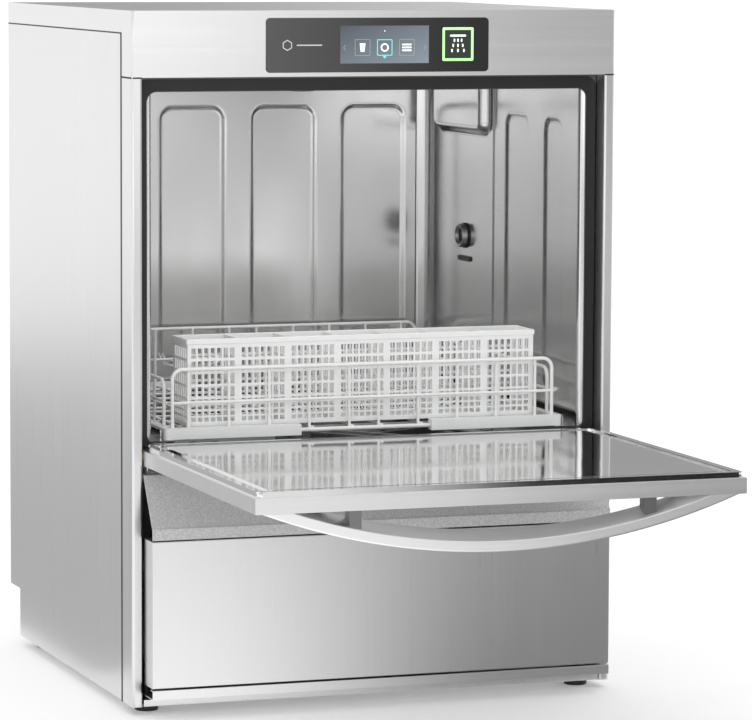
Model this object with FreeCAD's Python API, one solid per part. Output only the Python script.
import FreeCAD, Part
import math
import os

from FreeCAD import Vector

# An undercounter commercial dishwasher, modelled with its door open.
# Millimetres. X is the width, Y runs from the front to the rear, Z is up.
# Each piece is drawn about the cabinet's vertical middle axis, then all of them are moved
# along Y, so that the origin is on the floor at the middle of the space that the machine
# takes with its door open.

# Driving dimensions
WIDTH = 600.0
DEPTH = 568.0                # fascia to rear panel
HEIGHT = 820.0
SHEET = 1.2                  # stainless sheet
PANEL_PROUD = 35.0           # lower front panel stands this far in front of the fascia

HALF = WIDTH / 2
FRONT = -DEPTH / 2
REAR = DEPTH / 2

# Cabinet
FASCIA_BOTTOM = 743.0
LID_BOTTOM = 794.0
WRAP = 43.0                  # how far the fascia and the posts return along the sides
POST_WIDTH = 13.0
POST_BOTTOM = 10.0
JOINT_GAP = 0.5
CORNER_RADIUS = 3.0
NOTCH_DEPTH = 48.0           # recess at the rear foot, for hoses
NOTCH_TOP = 72.0
BASE_BOTTOM = 12.0
BASE_SHEET = 1.5
NOTCH_FRONT = REAR - NOTCH_DEPTH

# Lower front
LOWER_HALF = 285.5
LEDGE_TOP = 225.5
LEDGE_BOTTOM = 210.5
APRON_TOP = 282.2
SERVICE_TOP = 209.0
SERVICE_BOTTOM = 37.0
STRIP_TOP = 35.0
STRIP_BOTTOM = 24.0
PROUD_FACE = FRONT - PANEL_PROUD

# Wash chamber
CHAMBER_HALF = 268.0
CHAMBER_FRONT = FRONT + 27.5
CHAMBER_REAR = REAR - 22.0
CHAMBER_FLOOR = 262.0
CHAMBER_TOP = 760.0
CHAMBER_CORNER = 22.0
EMBOSS = 3.0
EMBOSS_TOP = 688.0
EMBOSS_BOTTOM = 350.0
EMBOSS_RADIUS = 16.0
REAR_EMBOSS_HALF = 46.0
FITTING_DEPTH = 412.0
FITTING_HEIGHT = 522.0
DUCT_FRONT = FRONT + 325.0       # raised box on the right wall
DUCT_REAR = FRONT + 512.0
DUCT_BOTTOM = 652.0
DUCT_PROUD = 12.0
FRAME_HALF = 286.5
FRAME_FACE = FRONT + 26.0
OPENING_HALF = 274.0
OPENING_BOTTOM = 315.5
OPENING_TOP = 725.5
OPENING_RADIUS = 12.0
GASKET_FACE = FRONT + 24.3
GASKET_BOTTOM = 302.0
GASKET_TOP = 740.0
FRAME_BOTTOM = 288.0

# Door, lying open: its outer face looks down
HINGE_Y = FRONT + 10.3
HINGE_Z = 303.8
DOOR_HALF = 286.0
DOOR_LENGTH = 444.0
DOOR_NEAR = HINGE_Y + 8.5
DOOR_TIP = DOOR_NEAR - DOOR_LENGTH
DOOR_FACE = HINGE_Z - 10.3
SHELL_TOP = 311.2
LINER_TOP = 317.5
LINER_PLATEAU = 316.5
LINER_HALF = 283.0
LINER_NEAR = HINGE_Y - 1.0
LINER_TIP = DOOR_TIP + 2.5
PIN_RADIUS = 4.0
RUNNING_CLEARANCE = 0.05
CRANK_LENGTH = 24.0
CRANK_X = 294.5
HANDLE_DROP = 52.0
HANDLE_SPAN = 278.0          # half the chord where the bow meets the door
HANDLE_FACE = 12.5
HANDLE_BACK = 22.5
HANDLE_DEPTH = 22.0

# Rack, basket and rails
RACK_HALF = 250.0
RACK_BOTTOM = 318.5
RAIL_TOP = 318.3
RACK_TOP_WIRE = 400.0
RIM_WIRE = 2.5               # wire radii
ARCH_WIRE = 2.2
GRID_WIRE = 1.8
BASKET_HALF = 218.0
BASKET_FRONT = FRONT + 50.0
BASKET_DEPTH = 58.0
BASKET_BOTTOM = 331.0
BASKET_TOP = 434.0
BASKET_CELLS = 7
BASKET_WALL = 2.0

# Water circuit
TANK_HALF = 205.0
TANK_FRONT = -200.0
TANK_REAR = 215.0
TANK_BOTTOM = 130.0
SUMP = Vector(-80, -110, 95)
SUMP_RADIUS = 70.0
FILTER_RADIUS = 44.0
RISER_RADIUS = 17.0
PUMP_X = -190.0
PUMP_Z = 66.0
BOILER = Vector(130, 10, 70)
BOILER_RADIUS = 50.0
BOILER_LENGTH = 200.0
DRAIN_X = -30.0
DRAIN_Z = 48.0
INLET_X = 230.0
INLET_Z = 50.0
CABLE_X = 285.0
CABLE_Z = 40.0
MANIFOLD_Z = 100.0
MANIFOLD_BOTTOM = 84.0
MANIFOLD_TOP = 128.0
MANIFOLD_RADIUS = 22.0
DOSING_FACE = -262.0
DOSING_Z = 110.0
HEATER_Z = 160.0

# Spray arms: offsets along the axle from its flange
AXLE_FLANGE = 4.0
WASH_SHAFT_END = 21.0
RINSE_SHAFT_END = 35.0
AXLE_LENGTH = 45.5
WASH_SHAFT = 12.0            # radii
RINSE_SHAFT = 8.0
THREAD = 6.0
WASH_REACH = 232.0
RINSE_REACH = 222.0
LOWER_AXLE_BASE = 263.5

# Controls
GLASS_HALF = 138.0
GLASS_BOTTOM = 748.0
GLASS_TOP = 811.0
SCREEN = (-47.0, 63.0, 758.0, 802.0)
BUTTON = (79.0, 120.0, 759.3, 800.7)
BUTTON_GAP = 0.4

FEET = [(x, y) for x in (-272.0, 272.0) for y in (FRONT + 38, NOTCH_FRONT - 32)]

SCREW_HEAD = 2.2
TO_ORIGIN = -(DOOR_TIP + REAR + SCREW_HEAD) / 2

X_AXIS = Vector(1, 0, 0)
Y_AXIS = Vector(0, 1, 0)
Z_AXIS = Vector(0, 0, 1)


# Shape helpers

def box(x0, x1, y0, y1, z0, z1):
    return Part.makeBox(x1 - x0, y1 - y0, z1 - z0, Vector(x0, y0, z0))


def rounded_box(x0, x1, y0, y1, z0, z1, axis, radius):
    """A box with its four edges along one axis rounded."""
    solid = box(x0, x1, y0, y1, z0, z1)
    edges = [e for e in solid.Edges if abs(e.tangentAt(e.FirstParameter).dot(axis)) > 0.99]
    return solid.makeFillet(radius, edges)


def rod(radius, start, end):
    return Part.makeCylinder(radius, (end - start).Length, start, end - start)


def tube(outer, inner, start, end):
    return rod(outer, start, end).cut(rod(inner, start, end))


def mirrored(shape):
    """The same shape on the other side of the cabinet's middle plane."""
    return shape.mirror(Vector(0, 0, 0), X_AXIS)


def turned(shape, degrees):
    """The shape turned about the chamber's vertical axis."""
    copy = shape.copy()
    copy.rotate(Vector(0, 0, 0), Z_AXIS, degrees)
    return copy


def bent_path(points, bend):
    """A wire through the points, its inner corners rounded to arcs of one radius."""
    edges = []
    start = points[0]
    for before, corner, after in zip(points, points[1:], points[2:]):
        into = (corner - before).normalize()
        out = (after - corner).normalize()
        half = into.getAngle(out) / 2
        setback = bend * math.tan(half)
        inward = (out - into).normalize()
        middle = corner + inward * (bend / math.cos(half) - bend)
        first = corner - into * setback
        last = corner + out * setback
        edges.append(Part.makeLine(start, first))
        edges.append(Part.Arc(first, middle, last).toShape())
        start = last
    edges.append(Part.makeLine(start, points[-1]))
    return Part.Wire(edges)


def swept(path, radius):
    """A round bar along a path."""
    first = path.Edges[0]
    start = first.valueAt(first.FirstParameter)
    circle = Part.makeCircle(radius, start, first.tangentAt(first.FirstParameter))
    return path.makePipeShell([Part.Wire([circle])], True, False)


def hose(points, bend, outer, inner):
    path = bent_path(points, bend)
    return swept(path, outer).cut(swept(path, inner))


def extruded_outline(points, direction):
    """A flat outline pushed along a direction."""
    return Part.Face(Part.makePolygon(points + points[:1])).extrude(direction)


def folded_sheet(profile, thickness, half_width):
    """A sheet bent along X: profile is its outer face as (y, z) points, front to rear."""
    def unit(a, b):
        length = math.hypot(b[0] - a[0], b[1] - a[1])
        return (b[0] - a[0]) / length, (b[1] - a[1]) / length

    steps = [unit(a, b) for a, b in zip(profile, profile[1:])]
    inner = []
    for i, (y, z) in enumerate(profile):
        before = steps[max(i - 1, 0)]
        after = steps[min(i, len(steps) - 1)]
        share = thickness / (1 + before[0] * after[0] + before[1] * after[1])
        inner.append((y + share * (before[1] + after[1]), z - share * (before[0] + after[0])))
    outline = [Vector(-half_width, y, z) for y, z in profile + inner[::-1]]
    return extruded_outline(outline, X_AXIS * (2 * half_width))


def open_tray(x0, x1, y0, y1, z0, z1, lip):
    """A pan open at the top, with an inward lip round its rim."""
    pan = box(x0, x1, y0, y1, z0, z1)
    hollow = box(x0 + SHEET, x1 - SHEET, y0 + SHEET, y1 - SHEET, z0 + SHEET, z1 - SHEET)
    mouth = box(x0 + lip, x1 - lip, y0 + lip, y1 - lip, z1 - 2 * SHEET, z1 + SHEET)
    return pan.cut([hollow, mouth])


# Cabinet

def base_frame():
    half = HALF - SHEET - 1.3
    front = FRONT + 4
    rear = NOTCH_FRONT - 1
    top = BASE_BOTTOM + BASE_SHEET
    plate = box(-half, half, FRONT + 28, rear, BASE_BOTTOM, top)
    apron_plate = box(-FRAME_HALF, FRAME_HALF, front, FRONT + 30, BASE_BOTTOM, top)
    side = box(-half, -half + SHEET, FRONT + 50, rear, BASE_BOTTOM, 45)
    upright = box(-half, half, rear - SHEET, rear, BASE_BOTTOM, NOTCH_TOP)
    shelf = box(-half, half, rear - SHEET, REAR - SHEET, NOTCH_TOP - SHEET, NOTCH_TOP)
    rail_half = FRAME_HALF - 0.5
    rail_face = box(-rail_half, rail_half, FRONT, FRONT + SHEET, 10.5, 18.5)
    rail_foot = box(-rail_half, rail_half, FRONT, front + 4, 10.5, BASE_BOTTOM)
    frame = plate.fuse([apron_plate, side, mirrored(side), upright, shelf, rail_face, rail_foot])
    holes = [rod(5 + RUNNING_CLEARANCE, Vector(x, y, 5), Vector(x, y, 25)) for x, y in FEET]
    for x, z, radius in ((DRAIN_X, DRAIN_Z, 13), (INLET_X, INLET_Z, 13.4), (CABLE_X, CABLE_Z, 9)):
        holes.append(rod(radius, Vector(x, rear - 5, z), Vector(x, rear + 5, z)))
    return frame.cut(holes)


def levelling_feet():
    feet = []
    for x, y in FEET:
        pad = rod(14, Vector(x, y, 0), Vector(x, y, 9))
        stem = rod(5, Vector(x, y, 9), Vector(x, y, 56))
        feet.append(pad.makeFillet(1.5, [pad.Edges[0], pad.Edges[2]]).fuse(stem))
    return Part.makeCompound(feet)


def front_post_right():
    inner = HALF - POST_WIDTH
    top = FASCIA_BOTTOM - JOINT_GAP
    outer = rounded_box(inner, HALF, FRONT, FRONT + 2 * WRAP, POST_BOTTOM, top, Z_AXIS, CORNER_RADIUS)
    hollow = box(inner + SHEET, HALF - SHEET, FRONT + SHEET, REAR, 0, HEIGHT)
    rear_trim = box(inner - 1, HALF + 1, FRONT + WRAP, REAR, 0, HEIGHT)
    web_trim = box(inner - 1, inner + 2 * SHEET, FRAME_FACE, REAR, 0, HEIGHT)
    hinge_hole = rod(7, Vector(inner - 5, HINGE_Y, HINGE_Z), Vector(inner + 5, HINGE_Y, HINGE_Z))
    return outer.cut([hollow, rear_trim, web_trim, hinge_hole])


def side_panel_right():
    front = FRONT + WRAP + JOINT_GAP
    panel = box(HALF - SHEET, HALF, front, REAR, BASE_BOTTOM - 0.5, LID_BOTTOM - JOINT_GAP)
    fold = box(HALF - 11, HALF - SHEET, front, front + SHEET, 50, LID_BOTTOM - JOINT_GAP)
    notch = box(HALF - 20, HALF + 1, NOTCH_FRONT, REAR + 1, 0, NOTCH_TOP)
    return panel.fuse(fold).cut(notch)


def rear_panel():
    panel = box(-HALF + SHEET, HALF - SHEET, REAR - SHEET, REAR, NOTCH_TOP, LID_BOTTOM - JOINT_GAP)
    slots = []
    for column in (-1, 1):
        for row in range(8):
            x = column * 150
            z = 120 + 14 * row
            slot = rounded_box(x - 45, x + 45, REAR - 5, REAR + 5, z, z + 5, Y_AXIS, 2.4)
            slots.append(slot)
    return panel.cut(slots)


def rear_screw_places():
    return [(x, z) for x in (-270, 0, 270) for z in (100, 420, 740)]


def rear_panel_screws():
    screws = []
    for x, z in rear_screw_places():
        head = rod(4.5, Vector(x, REAR, z), Vector(x, REAR + SCREW_HEAD, z))
        drive = rod(1.6, Vector(x, REAR + 1, z), Vector(x, REAR + 3, z))
        screws.append(head.makeFillet(1, [head.Edges[0]]).cut(drive))
    return Part.makeCompound(screws)


def top_lid():
    front = FRONT + WRAP + JOINT_GAP
    outer = box(-HALF, HALF, front, REAR, LID_BOTTOM, HEIGHT)
    hollow = box(-HALF + SHEET, HALF - SHEET, front - 1, REAR - SHEET, 0, HEIGHT - SHEET)
    return outer.cut(hollow)


def control_fascia():
    outer = rounded_box(-HALF, HALF, FRONT, FRONT + 2 * WRAP, FASCIA_BOTTOM, HEIGHT, Z_AXIS, CORNER_RADIUS)
    inner = HALF - SHEET
    hollow = box(-inner, inner, FRONT + 1.5, REAR, FASCIA_BOTTOM + SHEET, HEIGHT - SHEET)
    rear_trim = box(-HALF - 1, HALF + 1, FRONT + WRAP, REAR, 0, HEIGHT + 1)
    bottom_trim = box(-inner, inner, FRONT + 25, REAR, 0, FASCIA_BOTTOM + 2)
    gap = 0.3
    window = rounded_box(-GLASS_HALF - gap, GLASS_HALF + gap, FRONT - 5, FRONT + 5,
                         GLASS_BOTTOM - gap, GLASS_TOP + gap, Y_AXIS, 5)
    return outer.cut([hollow, rear_trim, bottom_trim, window])


def control_glass():
    pane = rounded_box(-GLASS_HALF, GLASS_HALF, FRONT - 0.4, FRONT + 1.5,
                       GLASS_BOTTOM, GLASS_TOP, Y_AXIS, 4.7)
    back = box(-GLASS_HALF - 4, GLASS_HALF + 4, FRONT + 1.5, FRONT + 3, GLASS_BOTTOM - 3, GLASS_TOP + 3)
    x0, x1, z0, z1 = SCREEN
    screen_window = box(x0, x1, FRONT - 5, FRONT + 5, z0, z1)
    x0, x1, z0, z1 = BUTTON
    button_window = rounded_box(x0 - BUTTON_GAP, x1 + BUTTON_GAP, FRONT - 5, FRONT + 5,
                                z0 - BUTTON_GAP, z1 + BUTTON_GAP, Y_AXIS, 2.4)
    return pane.fuse(back).cut([screen_window, button_window])


def touch_screen():
    x0, x1, z0, z1 = SCREEN
    face = box(x0, x1, FRONT - 0.3, FRONT + 3, z0, z1)
    module = box(x0 - 3, x1 + 3, FRONT + 3, FRONT + 9, z0 - 3, z1 + 3)
    return face.fuse(module)


def start_button():
    x0, x1, z0, z1 = BUTTON
    cap = rounded_box(x0, x1, FRONT - 0.4, FRONT + 6, z0, z1, Y_AXIS, 2)
    x = (x0 + x1) / 2
    z = (z0 + z1) / 2
    plunger = rod(4, Vector(x, FRONT + 6, z), Vector(x, FRONT + 12, z))
    return cap.fuse(plunger)


def control_board():
    """The control board on its four pillars above the chamber ceiling."""
    y0 = FRONT + 60
    z0 = CHAMBER_TOP + SHEET
    board = box(-120, 120, y0, y0 + 90, z0 + 6, z0 + 8)
    parts = [rod(3, Vector(x, y, z0), Vector(x, y, z0 + 6)) for x in (-112, 112) for y in (y0 + 8, y0 + 82)]
    parts.append(box(-100, -60, y0 + 20, y0 + 60, z0 + 8, z0 + 30))
    parts.append(box(40, 60, y0 + 15, y0 + 75, z0 + 8, z0 + 20))
    parts += [rod(6, Vector(-30 + 20 * i, y0 + 55, z0 + 8), Vector(-30 + 20 * i, y0 + 55, z0 + 26))
              for i in range(3)]
    return board.fuse(parts)


# Wash chamber

def chamber_wall_left():
    """A side wall: flat sheet with a round corner towards the rear wall, and embossed panels."""
    depth = CHAMBER_REAR - CHAMBER_FRONT

    def plan(outset):
        radius = CHAMBER_CORNER + outset
        side = -CHAMBER_HALF - outset
        corner = rounded_box(side, 0, CHAMBER_FRONT, CHAMBER_REAR + outset,
                             CHAMBER_FLOOR, CHAMBER_TOP, Z_AXIS, radius)
        square = box(side, 0, CHAMBER_FRONT, CHAMBER_FRONT + depth / 2, CHAMBER_FLOOR, CHAMBER_TOP)
        return corner.fuse(square)

    split = -CHAMBER_HALF + CHAMBER_CORNER
    shell = plan(SHEET).cut(plan(0))
    shell = shell.cut(box(split, 1, CHAMBER_FRONT - 1, REAR, CHAMBER_FLOOR, CHAMBER_TOP))
    for y0, y1 in ((85, 146), (195, 277)):
        shell = embossed_side(shell, FRONT + y0, FRONT + y1)
    return shell


def embossed_side(wall, y0, y1):
    outer = rounded_box(-CHAMBER_HALF - SHEET - EMBOSS, -CHAMBER_HALF, y0 - SHEET, y1 + SHEET,
                        EMBOSS_BOTTOM - SHEET, EMBOSS_TOP + SHEET, X_AXIS, EMBOSS_RADIUS + SHEET)
    pocket = rounded_box(-CHAMBER_HALF - EMBOSS, -CHAMBER_HALF + 1, y0, y1,
                         EMBOSS_BOTTOM, EMBOSS_TOP, X_AXIS, EMBOSS_RADIUS)
    return wall.fuse(outer).cut(pocket)


def chamber_wall_right():
    """The right wall carries a raised box under the ceiling and a hole for the water fitting."""
    wall = mirrored(chamber_wall_left())
    face = CHAMBER_HALF - DUCT_PROUD
    outside = CHAMBER_HALF + SHEET
    duct = rounded_box(face, outside, DUCT_FRONT, DUCT_REAR, DUCT_BOTTOM, CHAMBER_TOP, X_AXIS, 14)
    square = box(face, outside, DUCT_FRONT, DUCT_REAR, DUCT_BOTTOM + 48, CHAMBER_TOP)
    hollow = box(face + 2, CHAMBER_HALF + 10, DUCT_FRONT + 10, DUCT_REAR - 10,
                 DUCT_BOTTOM + 10, CHAMBER_TOP - 2)
    bore = rod(8, fitting_centre() - X_AXIS * 20, fitting_centre() + X_AXIS * 20)
    return wall.fuse([duct, square]).cut([hollow, bore])


def fitting_centre():
    return Vector(CHAMBER_HALF, FRONT + FITTING_DEPTH, FITTING_HEIGHT)


def wall_fitting():
    centre = fitting_centre()
    nut = rod(14.5, centre - X_AXIS * 14, centre)
    stub = rod(8, centre, centre + X_AXIS * 12)
    bore = rod(5.5, centre - X_AXIS * 15, centre + X_AXIS * 13)
    return nut.makeChamfer(1.5, [nut.Edges[0]]).fuse(stub).cut(bore)


def chamber_rear_wall():
    half = CHAMBER_HALF - CHAMBER_CORNER
    wall = box(-half, half, CHAMBER_REAR, CHAMBER_REAR + SHEET, CHAMBER_FLOOR, CHAMBER_TOP)
    for centre in (-186, -62, 62, 186):
        x0 = centre - REAR_EMBOSS_HALF
        x1 = centre + REAR_EMBOSS_HALF
        outer = rounded_box(x0 - SHEET, x1 + SHEET, CHAMBER_REAR, CHAMBER_REAR + EMBOSS,
                            EMBOSS_BOTTOM - SHEET, EMBOSS_TOP + SHEET, Y_AXIS, EMBOSS_RADIUS + SHEET)
        pocket = rounded_box(x0, x1, CHAMBER_REAR - 1, CHAMBER_REAR + EMBOSS - SHEET,
                             EMBOSS_BOTTOM, EMBOSS_TOP, Y_AXIS, EMBOSS_RADIUS)
        wall = wall.fuse(outer).cut(pocket)
    return wall


def chamber_ceiling():
    half = CHAMBER_HALF + SHEET
    roof = box(-half, half, CHAMBER_FRONT, CHAMBER_REAR + SHEET, CHAMBER_TOP, CHAMBER_TOP + SHEET)
    return roof.cut(rod(9, Vector(0, 0, CHAMBER_TOP - 5), Vector(0, 0, CHAMBER_TOP + 5)))


def chamber_front_frame():
    plate = box(-FRAME_HALF, FRAME_HALF, FRAME_FACE, CHAMBER_FRONT,
                FRAME_BOTTOM, CHAMBER_TOP + SHEET)
    opening = rounded_box(-OPENING_HALF, OPENING_HALF, FRONT, CHAMBER_FRONT + 1,
                          OPENING_BOTTOM, OPENING_TOP, Y_AXIS, OPENING_RADIUS)
    return plate.cut(opening)


def door_gasket():
    outer = rounded_box(-FRAME_HALF + 0.5, FRAME_HALF - 0.5, GASKET_FACE, FRAME_FACE,
                        GASKET_BOTTOM, GASKET_TOP, Y_AXIS, OPENING_RADIUS)
    inner = rounded_box(-OPENING_HALF - 1, OPENING_HALF + 1, GASKET_FACE - 1, FRAME_FACE + 1,
                        OPENING_BOTTOM - 1, OPENING_TOP + 1, Y_AXIS, OPENING_RADIUS)
    return outer.cut(inner)


def door_switch():
    body = box(110, 150, CHAMBER_FRONT, CHAMBER_FRONT + 9, 728, 740)
    lead = rod(2, Vector(130, CHAMBER_FRONT + 5, 740), Vector(130, CHAMBER_FRONT + 5, 756))
    return body.fuse(lead)


def rack_rails():
    y0 = CHAMBER_FRONT + 1.5
    y1 = FRONT + 540
    y2 = CHAMBER_REAR - CHAMBER_CORNER - 2
    runner = box(240, CHAMBER_HALF, y0, y2, RAIL_TOP - 2, RAIL_TOP)
    tail = box(240, 254, y2, y1, RAIL_TOP - 2, RAIL_TOP)
    lip = box(252.5, 254, y0 + 12, y1, RAIL_TOP, RAIL_TOP + 12)
    stop = box(240, 254, y1 - 4, y1, RAIL_TOP, RAIL_TOP + 26)
    rail = runner.fuse([tail, lip, stop])
    return Part.makeCompound([rail, mirrored(rail)])


# Water circuit

def wash_tank():
    flange = box(-CHAMBER_HALF, CHAMBER_HALF, CHAMBER_FRONT, CHAMBER_REAR,
                 CHAMBER_FLOOR - SHEET, CHAMBER_FLOOR)
    well = rounded_box(-TANK_HALF, TANK_HALF, TANK_FRONT, TANK_REAR,
                       TANK_BOTTOM, CHAMBER_FLOOR, Z_AXIS, 25)
    inside = rounded_box(-TANK_HALF + SHEET, TANK_HALF - SHEET, TANK_FRONT + SHEET, TANK_REAR - SHEET,
                         TANK_BOTTOM + SHEET, CHAMBER_FLOOR + 1, Z_AXIS, 24)
    floor = Vector(SUMP.x, SUMP.y, TANK_BOTTOM)
    pot = rod(SUMP_RADIUS, SUMP, floor)
    pot_inside = rod(SUMP_RADIUS - SHEET, SUMP + Z_AXIS * SHEET, floor + Z_AXIS * 5)
    holes = [
        rod(RISER_RADIUS + 0.3, Vector(0, 0, TANK_BOTTOM - 5), Vector(0, 0, TANK_BOTTOM + 5)),
        rod(13, suction_points()[0] - Z_AXIS, suction_points()[0] + Z_AXIS * 4),
        rod(7, drain_points()[0] - Z_AXIS, drain_points()[0] + Z_AXIS * 4),
    ]
    holes += [rod(4.6, Vector(TANK_HALF - 9, y, HEATER_Z), Vector(TANK_HALF + 9, y, HEATER_Z))
              for y in (60, 140)]
    return flange.fuse([well, pot]).cut([inside, pot_inside] + holes)


def tank_strainer():
    """Two lift-out perforated trays, split at the middle."""
    trays = []
    for side in (-1, 1):
        x0, x1 = sorted((side * 0.3, side * 220))
        tray = box(x0, x1, TANK_FRONT - 12, TANK_REAR + 12, CHAMBER_FLOOR, CHAMBER_FLOOR + SHEET)
        cuts = [rod(22.5, Vector(0, 0, 250), Vector(0, 0, 270))]
        cuts.append(rod(FILTER_RADIUS + 0.5, Vector(SUMP.x, SUMP.y, 250), Vector(SUMP.x, SUMP.y, 270)))
        for column in range(5):
            for row in range(6):
                x = side * (65 + 30 * column)
                y = 30 + 30 * row
                cuts.append(rod(5, Vector(x, y, 250), Vector(x, y, 270)))
        trays.append(tray.cut(cuts))
    return Part.makeCompound(trays)


def filter_cylinder():
    foot = Vector(SUMP.x, SUMP.y, SUMP.z + 3)
    head = Vector(SUMP.x, SUMP.y, CHAMBER_FLOOR + SHEET)
    sleeve = rod(FILTER_RADIUS, foot, head)
    inside = rod(FILTER_RADIUS - SHEET, foot + Z_AXIS * SHEET, head + Z_AXIS * 5)
    collar = tube(FILTER_RADIUS + 6, FILTER_RADIUS - 2, head, head + Z_AXIS * 1.8)
    return sleeve.cut(inside).fuse(collar)


def tank_heater():
    """A hairpin heating element on a flange outside the tank wall."""
    z = HEATER_Z
    points = [Vector(TANK_HALF + 14, 60, z), Vector(-150, 60, z), Vector(-150, 140, z),
              Vector(TANK_HALF + 14, 140, z)]
    element = swept(bent_path(points, 38), 4.5)
    flange = box(TANK_HALF, TANK_HALF + 6, 45, 155, z - 11, z + 11)
    return element.fuse(flange)


def manifold_block():
    return rod(MANIFOLD_RADIUS, Vector(0, 0, MANIFOLD_BOTTOM), Vector(0, 0, MANIFOLD_TOP))


def feed_manifold():
    block = manifold_block()
    riser = rod(RISER_RADIUS, Vector(0, 0, MANIFOLD_TOP), Vector(0, 0, LOWER_AXLE_BASE))
    bore = rod(12, Vector(0, 0, 90), Vector(0, 0, LOWER_AXLE_BASE + 1))
    return block.fuse(riser).cut(bore)


def upper_feed_pipe():
    y = CHAMBER_REAR + 11.2
    z = HEIGHT - 30
    points = [Vector(0, 22.2, MANIFOLD_Z), Vector(0, y, MANIFOLD_Z), Vector(0, y, z), Vector(0, 0, z),
              Vector(0, 0, CHAMBER_TOP + SHEET)]
    return hose(points, 14, 8.2, 6.8)


def wash_pump():
    volute = rod(48, Vector(PUMP_X, -30, PUMP_Z), Vector(PUMP_X, 20, PUMP_Z))
    motor = rod(42, Vector(PUMP_X, 20, PUMP_Z), Vector(PUMP_X, 175, PUMP_Z))
    cap = rod(36, Vector(PUMP_X, 175, PUMP_Z), Vector(PUMP_X, 190, PUMP_Z))
    spigot = rod(15, Vector(PUMP_X, -5, MANIFOLD_Z), Vector(-130, -5, MANIFOLD_Z))
    foot = box(PUMP_X - 30, PUMP_X + 30, 40, 150, BASE_BOTTOM + BASE_SHEET, 34)
    return volute.fuse([motor, cap, spigot, foot])


def suction_points():
    return [Vector(-120, -110, SUMP.z), Vector(-120, -110, PUMP_Z), Vector(PUMP_X, -110, PUMP_Z),
            Vector(PUMP_X, -30, PUMP_Z)]


def drain_points():
    return [Vector(DRAIN_X, -110, SUMP.z), Vector(DRAIN_X, -110, DRAIN_Z), Vector(DRAIN_X, 60, DRAIN_Z)]


def internal_hoses():
    """Suction, delivery, drain, rinse, fill and dosing hoses, each a separate piece."""
    rinse = [Vector(BOILER.x, -70, 76), Vector(BOILER.x, -70, 108), Vector(60, -70, 108),
             Vector(60, 0, 108), Vector(22.2, 0, 108)]
    fill = [Vector(INLET_X, 194, INLET_Z), Vector(INLET_X, 120, INLET_Z), Vector(190.2, 120, INLET_Z)]
    pieces = [
        hose(suction_points(), 24, 16, 13),
        tube(15, 12, Vector(-129.8, -5, MANIFOLD_Z), Vector(-22, -5, MANIFOLD_Z)),
        hose(drain_points(), 16, 10, 7),
        hose(rinse, 14, 7, 5),
        hose(fill, 18, 7, 5),
        tube(8, 5, Vector(BOILER.x, -40, 50), Vector(BOILER.x, BOILER.y - 6, 50)),
    ]
    for x in dosing_places():
        y = DOSING_FACE + 15
        outlet = [Vector(x, y, DOSING_Z + 24), Vector(x, y, 180), Vector(x, TANK_FRONT, 180)]
        pieces.append(hose(outlet, 10, 3, 2))
    pieces[1] = pieces[1].cut(manifold_block())
    return Part.makeCompound(pieces)


def drain_pump():
    motor = rod(26, Vector(DRAIN_X, 60, DRAIN_Z), Vector(DRAIN_X, 130, DRAIN_Z))
    foot = box(DRAIN_X - 20, DRAIN_X + 20, 70, 120, BASE_BOTTOM + BASE_SHEET, 30)
    return motor.fuse(foot)


def drain_hose():
    return tube(11, 8, Vector(DRAIN_X, 130, DRAIN_Z), Vector(DRAIN_X, REAR - 3, DRAIN_Z))


def boiler():
    end = BOILER + Y_AXIS * BOILER_LENGTH
    tank = rod(BOILER_RADIUS, BOILER, end)
    tank = tank.makeFillet(12, [tank.Edges[0], tank.Edges[2]])
    heater_head = rod(30, BOILER - Y_AXIS * 6, BOILER)
    port = rod(10, Vector(BOILER.x, 120, INLET_Z), Vector(190, 120, INLET_Z))
    feet = [box(BOILER.x - 25, BOILER.x + 25, y, y + 20, BASE_BOTTOM + BASE_SHEET, 30) for y in (40, 160)]
    return tank.fuse([heater_head, port] + feet)


def rinse_pump():
    motor = rod(26, Vector(BOILER.x, -100, 50), Vector(BOILER.x, -40, 50))
    foot = box(BOILER.x - 18, BOILER.x + 18, -95, -45, BASE_BOTTOM + BASE_SHEET, 34)
    return motor.fuse(foot)


def inlet_valve():
    body = box(INLET_X - 15, INLET_X + 15, 194, 232, INLET_Z - 18, INLET_Z + 18)
    coil = rod(14, Vector(INLET_X, 213, INLET_Z + 18), Vector(INLET_X, 213, INLET_Z + 50))
    thread = tube(13.2, 9, Vector(INLET_X, 232, INLET_Z), Vector(INLET_X, 260, INLET_Z))
    return body.fuse([coil, thread])


def service_bracket():
    y = -228
    foot = box(120, 292, y, y + 20, BASE_BOTTOM + BASE_SHEET, BASE_BOTTOM + BASE_SHEET + 1.5)
    return box(120, 292, y, y + 1.5, BASE_BOTTOM + BASE_SHEET, 160).fuse(foot)


def dosing_places():
    return (165, 235)


def dosing_pumps():
    """Detergent and rinse-aid dosing pumps."""
    pumps = []
    for x in dosing_places():
        back = DOSING_FACE + 26
        head = rod(24, Vector(x, DOSING_FACE, DOSING_Z), Vector(x, back, DOSING_Z))
        plate = box(x - 30, x + 30, back, back + 8, DOSING_Z - 30, DOSING_Z + 30)
        pumps.append(head.fuse(plate))
    return Part.makeCompound(pumps)


def power_cable():
    path = [Vector(CABLE_X, -226.5, 80), Vector(CABLE_X, -190, 80), Vector(CABLE_X, -190, CABLE_Z),
            Vector(CABLE_X, REAR - 3, CABLE_Z)]
    gland = rod(13, Vector(CABLE_X, NOTCH_FRONT - 1, CABLE_Z), Vector(CABLE_X, NOTCH_FRONT + 12, CABLE_Z))
    return swept(bent_path(path, 12), 5).fuse(gland)


# Spray arms: side is +1 for the lower pair, which stands up, and -1 for the upper pair, which hangs

def along_axle(side, offset):
    base = LOWER_AXLE_BASE if side > 0 else CHAMBER_TOP
    return Vector(0, 0, base + side * offset)


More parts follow.
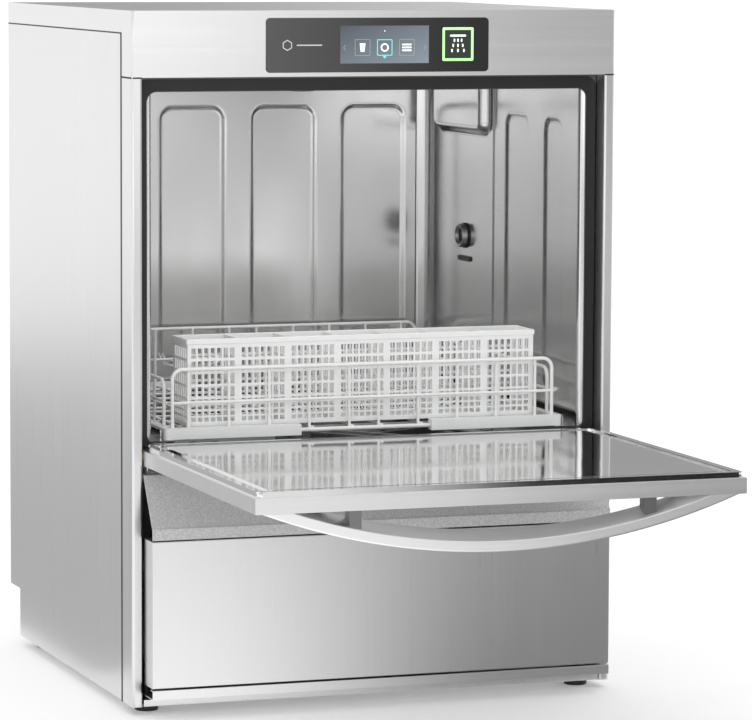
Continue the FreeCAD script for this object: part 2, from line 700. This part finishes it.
def arm_axle(side):
    flange = rod(22, along_axle(side, 0), along_axle(side, AXLE_FLANGE))
    wash = rod(WASH_SHAFT, along_axle(side, AXLE_FLANGE), along_axle(side, WASH_SHAFT_END))
    rinse = rod(RINSE_SHAFT, along_axle(side, WASH_SHAFT_END), along_axle(side, RINSE_SHAFT_END))
    thread = rod(THREAD, along_axle(side, RINSE_SHAFT_END), along_axle(side, AXLE_LENGTH))
    bore = rod(4, along_axle(side, -1), along_axle(side, RINSE_SHAFT_END - 5))
    return flange.fuse([wash, rinse, thread]).cut(bore)


def arm_nut(side):
    nut = rod(15, along_axle(side, RINSE_SHAFT_END + 0.3), along_axle(side, AXLE_LENGTH - 0.5))
    grips = []
    for i in range(8):
        angle = math.radians(45 * i)
        spot = Vector(17 * math.cos(angle), 17 * math.sin(angle), 0)
        grips.append(rod(4, along_axle(side, 30) + spot, along_axle(side, 50) + spot))
    return nut.cut(grips + [rod(THREAD, along_axle(side, 30), along_axle(side, 50))])


def wash_arm(side):
    hub = rod(32, along_axle(side, AXLE_FLANGE + 0.3), along_axle(side, WASH_SHAFT_END - 0.5))
    low, high = sorted((along_axle(side, 6).z, along_axle(side, 17).z))
    root = 17
    tip = 12
    outline = [Vector(0, -root, low), Vector(WASH_REACH - tip, -tip, low),
               Vector(WASH_REACH - tip, tip, low), Vector(0, root, low)]
    blade = extruded_outline(outline, Z_AXIS * (high - low))
    end = rod(tip, Vector(WASH_REACH - tip, 0, low), Vector(WASH_REACH - tip, 0, high))
    jets = []
    for i in range(6):
        spot = Vector(52 + 31 * i, 0, 0)
        jets.append(rod(4, along_axle(side, 16) + spot, along_axle(side, 18.5) + spot))
    half = blade.fuse([end] + jets)
    arm = hub.fuse([half, turned(half, 180)])
    return arm.cut(rod(WASH_SHAFT + RUNNING_CLEARANCE, along_axle(side, 0), along_axle(side, 30)))


def rinse_arm(side):
    hub = rod(19, along_axle(side, WASH_SHAFT_END + 0.4), along_axle(side, RINSE_SHAFT_END - 0.5))
    middle = along_axle(side, 28)
    pipe = rod(5.5, middle - X_AXIS * RINSE_REACH, middle + X_AXIS * RINSE_REACH)
    caps = [rod(6.5, middle + X_AXIS * (s * (RINSE_REACH - 12)), middle + X_AXIS * (s * RINSE_REACH))
            for s in (-1, 1)]
    bore = rod(RINSE_SHAFT + RUNNING_CLEARANCE, along_axle(side, 15), along_axle(side, 40))
    return hub.fuse([pipe] + caps).cut(bore)


# Lower front

def sloped_apron():
    profile = [(PROUD_FACE, LEDGE_BOTTOM), (PROUD_FACE, LEDGE_TOP - 2), (PROUD_FACE + 2, LEDGE_TOP),
               (FRONT + 3, APRON_TOP), (FRAME_FACE, APRON_TOP)]
    return folded_sheet(profile, 1.5, LOWER_HALF)


def lower_front_panel():
    outer = box(-LOWER_HALF, LOWER_HALF, PROUD_FACE, FRONT - 0.5, SERVICE_BOTTOM, SERVICE_TOP)
    edges = [e for e in outer.Edges if e.BoundBox.YMax < PROUD_FACE + 1]
    outer = outer.makeFillet(1.5, edges)
    inner = LOWER_HALF - SHEET
    hollow = box(-inner, inner, PROUD_FACE + SHEET, FRONT + 1, SERVICE_BOTTOM + SHEET, SERVICE_TOP - SHEET)
    return outer.cut(hollow)


def front_ledge():
    profile = [(FRONT + 4, STRIP_BOTTOM), (PROUD_FACE, STRIP_BOTTOM), (PROUD_FACE, STRIP_TOP),
               (PROUD_FACE + 10, STRIP_TOP)]
    return folded_sheet(profile, SHEET, LOWER_HALF)


# Door and its hinge

def door_outer_shell():
    shell = open_tray(-DOOR_HALF, DOOR_HALF, DOOR_TIP, DOOR_NEAR, DOOR_FACE, SHELL_TOP, 8)
    pivot = Vector(0, HINGE_Y, HINGE_Z)
    return shell.cut(rod(PIN_RADIUS + 0.3, pivot - X_AXIS * HALF, pivot + X_AXIS * HALF))


def door_inner_liner():
    """The dished liner: a raised rim, a drip channel inside it and a raised middle field."""
    def block(inset, z0, z1, radius):
        half = LINER_HALF - inset
        return rounded_box(-half, half, LINER_TIP + inset, LINER_NEAR - inset, z0, z1, Z_AXIS, radius)

    rim = block(0, SHELL_TOP, LINER_TOP, 6)
    channel = block(9, LINER_TOP - 3, LINER_TOP + 1, 5)
    field = block(20, LINER_TOP - 4, LINER_PLATEAU, 5)
    rim_hollow = block(SHEET + 5, SHELL_TOP - 1, LINER_TOP - 3 - SHEET, 4)
    field_hollow = block(20 + SHEET, SHELL_TOP - 1, LINER_PLATEAU - SHEET, 4)
    return rim.cut(channel).fuse(field).cut([rim_hollow, field_hollow])


def door_insulation():
    half = DOOR_HALF - SHEET - 0.3
    return box(-half, half, DOOR_TIP + 1.5, HINGE_Y - 9, DOOR_FACE + 1.3, SHELL_TOP - 1.3)


def door_handle():
    """A bow hung from the door's tip corners: a sector turned about an axis far above it."""
    radius = (HANDLE_SPAN ** 2 + HANDLE_DROP ** 2) / (2 * HANDLE_DROP)
    centre = Vector(0, 0, DOOR_FACE - HANDLE_DROP + radius)
    bottom = centre.z - radius
    section = [Vector(0, DOOR_TIP, bottom + 1.5), Vector(0, DOOR_TIP + 1.5, bottom),
               Vector(0, DOOR_TIP + HANDLE_DEPTH - 1.5, bottom),
               Vector(0, DOOR_TIP + HANDLE_DEPTH, bottom + 1.5),
               Vector(0, DOOR_TIP + HANDLE_DEPTH, bottom + HANDLE_BACK),
               Vector(0, DOOR_TIP + 1.5, bottom + HANDLE_FACE),
               Vector(0, DOOR_TIP, bottom + HANDLE_FACE - 1)]
    face = Part.Face(Part.makePolygon(section + section[:1]))
    reach = math.degrees(math.asin(HANDLE_SPAN / radius)) + 3
    face.rotate(centre, Y_AXIS, -reach)
    bow = face.revolve(centre, Y_AXIS, 2 * reach)
    return bow.cut(box(-WIDTH, WIDTH, DOOR_TIP - 5, DOOR_NEAR, DOOR_FACE, DOOR_FACE + 80))


def handle_brackets():
    y0 = DOOR_TIP + 4
    block = box(165, 179, y0, y0 + 15, DOOR_FACE - 38, DOOR_FACE)
    under = box(0, HALF, DOOR_TIP - 5, DOOR_NEAR, 0, DOOR_FACE - 37)
    bracket = block.cut([door_handle(), under])
    top = max(bracket.Solids, key=lambda s: s.BoundBox.ZMax)
    return Part.makeCompound([top, mirrored(top)])


def hinge_crank_right():
    """The hinge pin with its block in the door and its crank for the spring, one welded piece."""
    pivot = Vector(0, HINGE_Y, HINGE_Z)
    block = box(262, DOOR_HALF - SHEET - 0.2, HINGE_Y - 7, HINGE_Y + 6.9, HINGE_Z - 6.9, HINGE_Z + 5.1)
    pin = rod(PIN_RADIUS, pivot + X_AXIS * 270, pivot + X_AXIS * (CRANK_X + 2))
    end = pivot + Y_AXIS * CRANK_LENGTH
    width = 5
    lever = box(CRANK_X - 2, CRANK_X + 2, HINGE_Y, end.y, HINGE_Z - width, HINGE_Z + width)
    ends = [rod(width, p + X_AXIS * (CRANK_X - 2), p + X_AXIS * (CRANK_X + 2)) for p in (pivot, end)]
    return block.fuse([pin, lever] + ends)


def hinge_bush_right():
    start = Vector(DOOR_HALF + 0.3, HINGE_Y, HINGE_Z)
    return tube(7, PIN_RADIUS + RUNNING_CLEARANCE, start, start + X_AXIS * 5.5)


def hinge_bracket_right():
    x0 = HALF - POST_WIDTH + SHEET
    plate = box(x0, x0 + 3, FRONT + 2, FRONT + 24, HINGE_Z - 24, HINGE_Z + 24)
    return plate.cut(rod(7, Vector(x0 - 1, HINGE_Y, HINGE_Z), Vector(x0 + 5, HINGE_Y, HINGE_Z)))


def door_spring_right():
    """A counterbalance spring between the crank and the base, coiled between two end plugs."""
    axis = Vector(CRANK_X, HINGE_Y + CRANK_LENGTH, 0)
    coil_start = 80
    coil_end = 260
    radius = 3.0
    wire = 0.8
    helix = Part.makeHelix(6, coil_end - coil_start, radius)
    circle = Part.makeCircle(wire, Vector(radius, 0, 0), Y_AXIS)
    coil = helix.makePipeShell([Part.Wire([circle])], True, True)
    coil.translate(axis + Z_AXIS * coil_start)
    stem_foot = axis + Z_AXIS * (BASE_BOTTOM + BASE_SHEET)
    stem_head = axis + Z_AXIS * (HINGE_Z - 5)
    low_plug = rod(4.0, axis + Z_AXIS * (coil_start - 3), axis + Z_AXIS * (coil_start + 1.5))
    high_plug = rod(4.0, axis + Z_AXIS * (coil_end - 1.5), axis + Z_AXIS * (coil_end + 3))
    stems = [rod(1.2, stem_foot, axis + Z_AXIS * coil_start), rod(1.2, axis + Z_AXIS * coil_end, stem_head)]
    return coil.fuse([low_plug, high_plug] + stems)


def pair(shape):
    return Part.makeCompound([shape, mirrored(shape)])


# Rack and basket

def wire_centres():
    """Places of the upright and floor wires across the rack."""
    half = [18.5 + 50 * i for i in range(5)]
    return [-v for v in reversed(half)] + half


def rim_loop(half, z, corner):
    """A closed loop of rim wire, its corners rounded."""
    points = [Vector(0, -half, z), Vector(half, -half, z), Vector(half, half, z), Vector(-half, half, z),
              Vector(-half, -half, z), Vector(0, -half, z)]
    return swept(bent_path(points, corner), RIM_WIRE)


def rack_side(half, inset, top):
    """The front side of the rack: an arch of wire, uprights welded inside it and a middle wire."""
    y = -half + 0.7
    end = half - inset
    foot = RACK_BOTTOM + 5.5
    corners = [Vector(-end, y, foot), Vector(-end, y, top), Vector(end, y, top), Vector(end, y, foot)]
    arch = swept(bent_path(corners, 12), ARCH_WIRE)
    places = [x for x in wire_centres() if abs(x) < end - 8]
    bars = [rod(GRID_WIRE, Vector(x, y + 3.2, foot), Vector(x, y + 3.2, top)) for x in places]
    middle = RACK_BOTTOM + 42
    rail = rod(GRID_WIRE, Vector(-end, y + 0.4, middle), Vector(end, y + 0.4, middle))
    return [arch, rail] + bars


def wire_rack():
    half = RACK_HALF - 7
    base = rim_loop(half, RACK_BOTTOM + 5.5, 14)
    wires = []
    for quarter in range(4):
        inset, top = ((4, RACK_TOP_WIRE), (24, RACK_TOP_WIRE - 14))[quarter % 2]
        wires += [turned(wire, 90 * quarter) for wire in rack_side(half, inset, top)]
    floor = RACK_BOTTOM + 8
    for upright in wire_centres():
        place = upright + 3
        wires.append(rod(GRID_WIRE, Vector(place, -half, floor), Vector(place, half, floor)))
        wires.append(rod(GRID_WIRE, Vector(-half, place, floor - 2.6), Vector(half, place, floor - 2.6)))
    return base.fuse(wires)


def rack_bumpers(rack):
    """L-shaped skids clipped round the rack's bottom corners."""
    leg = 168
    thick = 12
    top = RACK_BOTTOM + 13
    out = RACK_HALF
    along = box(-out, -out + leg, -out, -out + thick, RACK_BOTTOM, top)
    across = box(-out, -out + thick, -out, -out + leg, RACK_BOTTOM, top)
    corner = along.fuse(across).removeSplitter()
    outer_edge = [e for e in corner.Edges if e.BoundBox.XMax < -out + 1 and e.BoundBox.YMax < -out + 1]
    corner = corner.makeFillet(4, outer_edge)
    pieces = []
    for quarter in range(4):
        piece = turned(corner, 90 * quarter).cut(rack)
        pieces.append(max(piece.Solids, key=lambda s: s.Volume))
    return Part.makeCompound(pieces)


def cutlery_basket():
    rear = BASKET_FRONT + BASKET_DEPTH
    body = rounded_box(-BASKET_HALF, BASKET_HALF, BASKET_FRONT, rear, BASKET_BOTTOM, BASKET_TOP, Z_AXIS, 3)
    pitch = (2 * BASKET_HALF - BASKET_WALL) / BASKET_CELLS
    cells = []
    for i in range(BASKET_CELLS):
        x0 = -BASKET_HALF + BASKET_WALL + i * pitch
        cells.append(box(x0, x0 + pitch - BASKET_WALL, BASKET_FRONT + BASKET_WALL, rear - BASKET_WALL,
                         BASKET_BOTTOM + BASKET_WALL, BASKET_TOP + 1))
    return body.cut(cells)


def build():
    rack = wire_rack()
    return {
        "base_frame": base_frame(),
        "levelling_feet": levelling_feet(),
        "front_post_left": mirrored(front_post_right()),
        "front_post_right": front_post_right(),
        "side_panel_left": mirrored(side_panel_right()),
        "side_panel_right": side_panel_right(),
        "rear_panel": rear_panel(),
        "rear_panel_screws": rear_panel_screws(),
        "top_lid": top_lid(),
        "control_fascia": control_fascia(),
        "control_glass": control_glass(),
        "touch_screen": touch_screen(),
        "start_button": start_button(),
        "control_board": control_board(),
        "chamber_wall_left": chamber_wall_left(),
        "chamber_wall_right": chamber_wall_right(),
        "chamber_rear_wall": chamber_rear_wall(),
        "chamber_ceiling": chamber_ceiling(),
        "chamber_front_frame": chamber_front_frame(),
        "wall_fitting": wall_fitting(),
        "door_gasket": door_gasket(),
        "door_switch": door_switch(),
        "rack_rails": rack_rails(),
        "wash_tank": wash_tank(),
        "tank_strainer": tank_strainer(),
        "filter_cylinder": filter_cylinder(),
        "tank_heater": tank_heater(),
        "feed_manifold": feed_manifold(),
        "upper_feed_pipe": upper_feed_pipe(),
        "wash_pump": wash_pump(),
        "internal_hoses": internal_hoses(),
        "drain_pump": drain_pump(),
        "drain_hose": drain_hose(),
        "boiler": boiler(),
        "rinse_pump": rinse_pump(),
        "inlet_valve": inlet_valve(),
        "service_bracket": service_bracket(),
        "dosing_pumps": dosing_pumps(),
        "power_cable": power_cable(),
        "arm_axles": Part.makeCompound([arm_axle(1), arm_axle(-1)]),
        "arm_nuts": Part.makeCompound([arm_nut(1), arm_nut(-1)]),
        "lower_wash_arm": turned(wash_arm(1), 25),
        "lower_rinse_arm": turned(rinse_arm(1), -50),
        "upper_wash_arm": turned(wash_arm(-1), -20),
        "upper_rinse_arm": turned(rinse_arm(-1), 60),
        "sloped_apron": sloped_apron(),
        "lower_front_panel": lower_front_panel(),
        "front_ledge": front_ledge(),
        "door_outer_shell": door_outer_shell(),
        "door_inner_liner": door_inner_liner(),
        "door_insulation": door_insulation(),
        "door_handle": door_handle(),
        "handle_brackets": handle_brackets(),
        "hinge_cranks": pair(hinge_crank_right()),
        "hinge_bushes": pair(hinge_bush_right()),
        "hinge_brackets": pair(hinge_bracket_right()),
        "door_springs": pair(door_spring_right()),
        "wire_rack": rack,
        "rack_bumpers": rack_bumpers(rack),
        "cutlery_basket": cutlery_basket(),
    }


os.makedirs("parts", exist_ok=True)
for name, shape in build().items():
    shape.translate(Y_AXIS * TO_ORIGIN)
    shape.exportStep(os.path.join("parts", name + ".step"))
